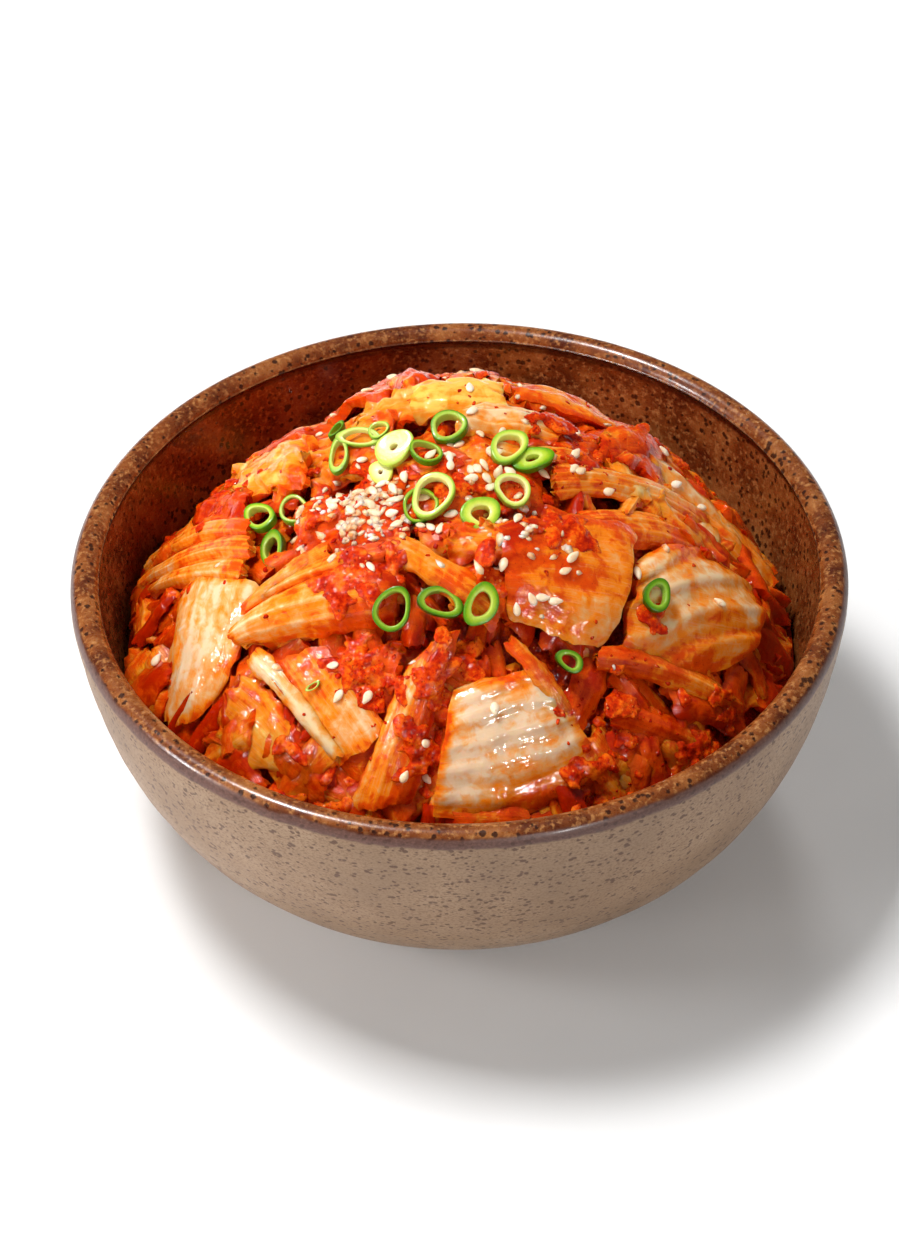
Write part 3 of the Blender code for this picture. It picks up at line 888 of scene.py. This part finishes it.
def makePasteLumps(find):
    dice = random.Random(paste["seed"])
    lays = []
    for x, y, spread, count in paste["patches"]:
        for index in range(count):
            px, py = dice.gauss(x, spread * 0.55), dice.gauss(y, spread * 0.55)
            if math.hypot(px, py) > paste["reach"]:
                continue
            spot, normal = find(px, py)
            size = dice.uniform(*paste["size"])
            # by a steep edge a lump lies along the heap and doesn't stand up
            normal = (normal + 2 * heapNormal(px, py)).normalized()
            turn = standOn(normal, dice.uniform(0, 6)) @ Matrix.Diagonal(
                (size * dice.uniform(0.9, 2.0), size * dice.uniform(0.7, 1.3), size * dice.uniform(0.25, 0.55), 1))
            lays.append((index, turn, spot - normal * 0.1 * mm))
    mass = layCopies(pebbles(5, 2, 0.5), lays, "chiliPaste")
    remesh = mass.modifiers.new("fuse", "REMESH")
    remesh.mode = "VOXEL"
    remesh.voxel_size = paste["voxel"] * mm
    calm = mass.modifiers.new("calm", "SMOOTH")
    calm.factor = 0.5
    calm.iterations = 3
    applyAll(mass)
    normals = [vertex.normal.copy() for vertex in mass.data.vertices]
    for vertex, normal in zip(mass.data.vertices, normals):
        push = 0.28 * noise.noise(vertex.co * 700) + 0.14 * noise.noise(vertex.co * 1800)
        vertex.co += normal * push * mm
    keepInside(mass)
    bpy.ops.object.shade_smooth()
    return mass


# x, y, outer radius, wall, height, lean, flat squeeze, deep green, pale, part of a full turn
scallions = {
    "ringThin": (-4.6, -14.4, 4.7, 1.3, 2.2, 10, 0.88, 0.05, 0.35, 1.0),
    "ringBehind": (-7.4, -15.5, 4.0, 0.8, 1.8, 20, 0.8, 0.5, 0.0, 1.0),
    "ringLime": (4.1, -17.2, 4.2, 2.3, 2.6, 8, 0.8, 0.05, 0.15, 1.0),
    "ringPale": (10.5, -11.9, 3.7, 1.1, 2.0, 10, 0.95, 0.0, 0.55, 1.0),
    "ringCream": (-12.1, -1.8, 4.1, 3.3, 2.4, 8, 0.86, 0.0, 0.75, 1.0),
    "sliceOnion": (-15, -6, 3.2, 2.6, 1.2, 10, 0.7, 0.0, 1.0, 1.0),
    "pairLeft": (-1.2, 2.8, 4.1, 1.3, 2.4, 20, 0.8, 0.5, 0.0, 1.0),
    "pairRight": (9.9, -2.4, 4.5, 1.6, 2.2, 14, 0.72, 0.12, 0.2, 1.0),
    "pairLow": (14.6, -4.2, 4.1, 2.9, 2.4, 14, 0.62, 0.25, 0.0, 1.0),
    "ringDarkEdge": (-6.2, -4.8, 3.4, 0.8, 1.8, 20, 0.8, 0.6, 0.0, 1.0),
    "arcThin": (-9.2, 0.5, 3.2, 0.7, 1.6, 20, 0.8, 0.6, 0.0, 0.6),
    "arcSmall": (-15.5, 3.6, 2.2, 0.6, 1.6, 10, 0.9, 0.3, 0.1, 1.0),
    "longPiece": (-19.2, 3.5, 4.9, 1.7, 1.6, 10, 0.4, 0.3, 0.3, 1.0),
    "longTwin": (-23.4, 0.7, 4.2, 1.5, 1.6, 12, 0.5, 0.4, 0.1, 1.0),
    "leftClear": (-32, -5, 3.5, 0.9, 2.2, 16, 0.85, 0.35, 0.1, 1.0),
    "leftOval": (-38.9, -5, 4.1, 1.4, 2.2, 18, 0.66, 0.4, 0.0, 1.0),
    "leftDark": (-35.6, -12, 4.3, 1.9, 2.4, 16, 0.6, 0.6, 0.0, 1.0),
    "lowLeft": (-12.8, -36.6, 4.5, 1.2, 2.2, 18, 0.78, 0.75, 0.0, 1.0),
    "lowMiddle": (-4, -34.5, 4.3, 1.5, 2.2, 16, 0.72, 0.7, 0.0, 1.0),
    "lowRight": (4.1, -37.5, 4.7, 2.1, 2.4, 16, 0.62, 0.45, 0.0, 1.0),
    "rightSmall": (38.3, -26.8, 3.4, 1.4, 2.0, 16, 0.85, 0.8, 0.0, 1.0),
    "innerSmall": (20.6, -40, 2.7, 1.2, 2.0, 16, 0.8, 0.75, 0.0, 1.0),
    "innerBit": (20.6, -43, 2.0, 0.8, 1.4, 20, 0.6, 0.8, 0.0, 0.6),
    "sliver": (-28.4, -44.1, 1.7, 0.6, 0.8, 10, 0.4, 0.4, 0.2, 1.0),
    "bitOne": (4.9, -2.7, 2.2, 0.8, 1.4, 20, 0.6, 0.6, 0.0, 0.5),
    "bitTwo": (4.2, -10.9, 2.0, 0.7, 1.4, 20, 0.5, 0.6, 0.0, 0.6),
    "backSliver": (-24, 9, 2.4, 0.8, 1.8, 30, 0.5, 0.85, 0.0, 1.0),
}


def makeScallions(find):
    dice = random.Random(8)
    rings = []
    for name, (x, y, radius, wall, height, lean, squeeze, deep, pale, part) in scallions.items():
        clearSelection()
        bpy.ops.mesh.primitive_cylinder_add(vertices=40, radius=radius, depth=height, end_fill_type="NOTHING")
        ring = bpy.context.object
        ring.name = name
        if part < 1.0:
            for vertex in ring.data.vertices:
                turn = (math.atan2(vertex.co.y, vertex.co.x) + math.tau) % math.tau
                vertex.select = turn > part * math.tau
            bpy.ops.object.mode_set(mode="EDIT")
            bpy.ops.mesh.delete(type="VERT")
            bpy.ops.object.mode_set(mode="OBJECT")
        solid = ring.modifiers.new("wall", "SOLIDIFY")
        solid.thickness = wall
        solid.offset = -1
        bevel = ring.modifiers.new("edge", "BEVEL")
        bevel.width = min(0.28, wall * 0.3)
        bevel.segments = 2
        bevel.limit_method = "ANGLE"
        soft = ring.modifiers.new("soft", "SUBSURF")
        soft.levels = soft.render_levels = 1
        applyAll(ring)
        spot, normal = find(x, y)
        heading = dice.uniform(0, math.tau)
        # it lies on whatever rises highest under it, tipped a little to the front
        axis = (normal + heapNormal(x, y) * 2 + Vector((0, -1, 1))).normalized()
        rise = 0.0
        for step in range(6):
            near = find(x + radius * 0.6 * math.cos(step), y + radius * 0.6 * math.sin(step))[0]
            rise = max(rise, (near - spot).dot(axis))
        turn = stand(axis, heading)
        turn = turn @ Matrix.Rotation(math.radians(lean * dice.uniform(-0.6, 0.6)), 4, "X")
        squash = Matrix.Diagonal((1, squeeze, 1, 1))
        lift = axis * (height * 0.36 * mm + min(rise * 0.7, 2.2 * mm))
        colours = []
        for vertex in ring.data.vertices:
            across, along, up = vertex.co
            colours.append((ease(radius - wall * 1.05, radius * 1.01, math.hypot(across, along)), deep, pale, 1.0))
            around = math.atan2(along, across)
            wobble = 1 + 0.07 * math.sin(2 * around + x) + 0.05 * math.sin(3 * around + y)
            wide = wobble * (1 + 0.04 * up / height)
            raw = Vector((across * wide, along * wide, up + 0.25 * math.sin(around + x)))
            vertex.co = spot + (turn @ (squash @ raw)) * mm + lift
        paintLook(ring, colours)
        selectOnly(ring)
        bpy.ops.object.shade_smooth_by_angle(angle=math.radians(50))
        rings.append(ring)
    return joinPieces(rings, "scallionRings")


# x, y, spread, how many
seedPatches = [(5, -8, 3.2, 10), (-4, -5, 2.6, 6), (-13, -12, 3.0, 8), (-22, -13, 3.0, 5), (22, -5, 2.4, 3),
               (0, 30, 16, 10), (30, 25, 10, 4), (-30, 30, 10, 5)]
looseSeeds = [(3, 6), (-24, -6), (-23, -7.5), (-19, -1), (-10.5, -8.5), (-10, -15.5), (-12, -20), (-7.5, -20),
              (-5.5, -20.5), (-3.5, -21.5), (-1.5, -17.5), (11.5, -21), (8.5, -31), (-17, -30.5), (11, -37),
              (14, -35.5), (16, -35), (18.5, -35), (22, -27.5), (20.5, -30), (17, -6), (4.5, 2), (23.5, 1), (9, 2.5),
              (-24.5, -42), (-23.5, -47), (-18, -47.5), (-7, -55.5), (-6.5, -58), (-11, -60), (6.5, -51.5), (-62, -18),
              (30, -5.5), (35, -23.5), (45, 11), (52, -19)]


def makeSeeds(find):
    dice = random.Random(21)
    models = []
    for index in range(3):
        clearSelection()
        bpy.ops.mesh.primitive_uv_sphere_add(segments=14, ring_count=9, radius=1.0)
        seed = bpy.context.object
        for vertex in seed.data.vertices:
            x, y, z = vertex.co
            vertex.co = (x, y * (1 - (0.36 + 0.06 * index) * ease(-0.3, 1.0, x)), z * (1 - 0.25 * ease(0, 1, x)))
        models.append(seed)
    spots = list(looseSeeds)
    for x, y, spread, count in seedPatches:
        spots += [(dice.gauss(x, spread), dice.gauss(y, spread)) for index in range(count)]
    lays = []
    for index, (x, y) in enumerate(spots):
        spot, normal = find(x, y)
        turn = standOn(normal, dice.uniform(0, math.tau)) @ Matrix.Rotation(dice.uniform(-0.25, 0.25), 4, "X")
        size = (dice.uniform(1.35, 1.6), dice.uniform(0.82, 0.98), dice.uniform(0.42, 0.55), 1)
        turn = turn @ Matrix.Diagonal(size)
        lays.append((index, turn, spot + normal * 0.3 * mm))
    return layCopies(models, lays, "sesameSeeds")


crumbReach = 66         # none falls farther from the middle
crumbs = {
    # number, size low and high, flatness, spread of places
    "garlicBits": dict(count=230, size=(0.5, 1.3), flat=(0.25, 0.5), seed=31,
                       places=[(-22, -13, 4.5, 0.4), (-16, -16, 4, 0.3), (12, -23, 6, 0.15), (0, 0, 30, 0.15)]),
    "chiliFlakes": dict(count=420, size=(0.3, 0.7), flat=(0.14, 0.3), seed=32,
                        places=[(-14, -14, 9, 0.3), (-16, -48, 5, 0.1), (31, -46, 7, 0.15), (22, 4, 9, 0.15),
                                (0, 20, 30, 0.3)]),
}


def makeCrumbs(name, find):
    spec = crumbs[name]
    dice = random.Random(spec["seed"])
    lays = []
    for index in range(spec["count"]):
        pick, total = dice.random(), 0.0
        for x, y, spread, share in spec["places"]:
            total += share
            if pick <= total:
                break
        px, py = dice.gauss(x, spread), dice.gauss(y, spread)
        if math.hypot(px, py) > crumbReach:
            continue
        size, flat = dice.uniform(*spec["size"]), dice.uniform(*spec["flat"])
        spot, normal = find(px, py)
        turn = standOn(normal, dice.uniform(0, math.tau)) @ Matrix.Diagonal(
            (size * dice.uniform(0.8, 1.4), size * dice.uniform(0.6, 1.0), size * flat, 1))
        lays.append((index, turn, spot))
    return layCopies(pebbles(6, 1, 0.7), lays, name)


keepPiece(makeBowl(), makeClay(), "bowl")
print("bowl turned")

leafGroups = {"cabbageFront": frontLeaves, "cabbageSides": sideLeaves, "cabbageCrown": crownLeaves}
groups = []
for name, leaves in leafGroups.items():
    groups.append(thicken([shapeLeaf(leaf, **spec) for leaf, spec in leaves.items()], name))
shreds, deep = makeFillers(), fillers["under"]["count"]
groups += [thicken(makeBackLeaves(), "cabbageBack"), thicken(shreds[:deep], "cabbageShreds"),
           thicken(shreds[deep:], "looseShreds")]
for blank in blanks.values():
    bpy.data.objects.remove(blank)
print("cabbage cut")
mass = makeCore()
find = surfaceFinder(groups + [mass])
pasteLumps = makePasteLumps(find)
print("paste spread")
find = surfaceFinder(groups + [mass, pasteLumps])
rings = makeScallions(find)
seeds = makeSeeds(find)
garlic = makeCrumbs("garlicBits", find)
flakes = makeCrumbs("chiliFlakes", find)
print("toppings laid")
cabbage = makeCabbage()
finishes = [(group, cabbage) for group in groups]
finishes += [(mass, makePaste("deepSauce")), (pasteLumps, makePaste("chiliPaste")), (rings, makeScallion()),
             (seeds, makeSeed()), (garlic, makeGarlic()), (flakes, makePaste("driedChili"))]
for piece, material in finishes:
    keepPiece(piece, material, "kimchi_heap")
for piece in scene.objects:
    if piece.type == "MESH" and not piece.hide_render:
        print(piece.name, len(piece.data.polygons))


# soft lamps shine on everything but show in no gloss; the small glints show only there
studio = {
    "key": dict(place=(-0.3, 0.12, 0.95), size=(0.26, 0.26), power=9.2, gloss=False),
    "side": dict(place=(-0.82, -0.2, 0.5), size=(0.25, 0.25), power=2.3, gloss=False),
    "front": dict(place=(0.4, -0.82, 0.5), size=(0.25, 0.25), power=2.8, gloss=False),
    "back": dict(place=(0.12, 0.8, 0.68), size=(0.2, 0.1), power=2.2, gloss=False),
    "low": dict(place=(-0.95, -0.35, 0.12), size=(0.3, 0.2), power=4.6, gloss=False),
    "keyGlint": dict(place=(-0.3, 0.12, 0.95), size=(0.06, 0.06), power=6.5, matt=False),
    "sideGlint": dict(place=(-0.82, -0.2, 0.5), size=(0.06, 0.06), power=3.4, matt=False),
    "frontGlint": dict(place=(0.4, -0.82, 0.5), size=(0.06, 0.06), power=2.6, matt=False),
}


def makeStudio():
    clearSelection()
    bpy.ops.mesh.primitive_plane_add(size=6.0, location=(0, 0, 0))
    floor = bpy.context.object
    floor.name = "studioFloor"
    floor.data.materials.append(makeFloorPaint())
    for name, spec in studio.items():
        light = bpy.data.lights.new(name, "AREA")
        light.shape = "RECTANGLE"
        light.size, light.size_y = spec["size"]
        light.energy = spec["power"]
        lamp = bpy.data.objects.new(name, light)
        scene.collection.objects.link(lamp)
        lamp.location = spec["place"]
        lamp.visible_glossy = spec.get("gloss", True)
        lamp.visible_diffuse = spec.get("matt", True)
        aim = Vector((0, 0, 0.06)) - Vector(spec["place"])
        lamp.rotation_euler = aim.to_track_quat("-Z", "Y").to_euler()
    world = bpy.data.worlds.new("softSky")
    scene.world = world
    world.use_nodes = True
    sky = world.node_tree.nodes["Background"]
    sky.inputs["Color"].default_value = (1.0, 0.985, 0.96, 1.0)
    sky.inputs["Strength"].default_value = 0.12


# angles in degrees; it looks a touch below and left of the rim's centre, so that the bowl sits high and right
shot = {"rise": 41.75, "away": 0.6, "lens": 83.26, "roll": 0.93, "down": 1.5, "pan": 0.277, "height": 63.3}


def makeCamera():
    data = bpy.data.cameras.new("studioCamera")
    data.sensor_width = 36
    data.lens = shot["lens"]
    data.clip_start = 0.01
    camera = bpy.data.objects.new("studioCamera", data)
    scene.collection.objects.link(camera)
    rise = math.radians(shot["rise"])
    place = Vector((0, -shot["away"] * math.cos(rise), shot["height"] * mm + shot["away"] * math.sin(rise)))
    pan, roll = math.radians(shot["pan"]), math.radians(shot["roll"])
    turn = Matrix.Rotation(math.radians(90 - shot["down"]) - rise, 4, "X")
    turn = Matrix.Rotation(pan, 4, "Z") @ turn @ Matrix.Rotation(-roll, 4, "Z")
    camera.matrix_world = Matrix.Translation(place) @ turn
    scene.camera = camera


makeStudio()
makeCamera()
scene.view_settings.view_transform = "Standard"
